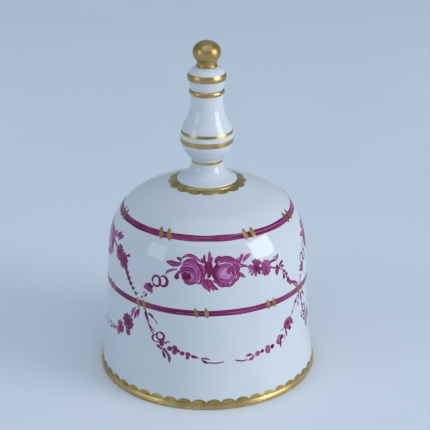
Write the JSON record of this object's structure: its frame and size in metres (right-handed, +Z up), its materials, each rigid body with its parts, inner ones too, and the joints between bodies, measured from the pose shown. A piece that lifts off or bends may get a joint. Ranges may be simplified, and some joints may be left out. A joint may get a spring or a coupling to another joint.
{
  "type": "porcelain table bell",
  "caption": "Glazed porcelain hand bell with a turned handle, gilt ball finial and a clapper that swings on a wire link.",
  "frame": {"origin": "centre of the circle on which the rim stands", "axes": "+Z up along the bell's axis towards the finial; -Y is the side with the middle of the painted garland; +X to its right"},
  "size_m": [0.0804, 0.0804, 0.1236],
  "materials": {
    "porcelain": "clear gloss glaze over cool white porcelain",
    "gilding": "burnished gilding with slight wear",
    "enamel_puce": "overglaze enamel, brushed, glossy",
    "brass": "bright drawn and turned brass",
    "cork": "pressed granulated cork, matt"
  },
  "bodies": {
    "bell": {"bell_body": "porcelain", "handle": "porcelain", "finial_ball": "gilding", "tie_rod": "brass", "crown_gasket": "cork", "inner_gasket": "cork", "inner_washer": "brass", "retaining_nut": "brass"},
    "link": {"hanger_link": "brass"},
    "clapper": {"clapper_stem": "brass", "clapper_ball": "brass"}
  },
  "joints": [
    {"name": "link_swing", "type": "hinge", "parent": "bell", "child": "link", "pos_m": [0, 0, 0.0613], "axis": [0, 1, 0], "range_deg": [-29.5, 29.5]},
    {"name": "clapper_swing", "type": "hinge", "parent": "link", "child": "clapper", "pos_m": [0, 0, 0.0575], "axis": [1, 0, 0], "range_deg": [-29.5, 29.5]}
  ]
}
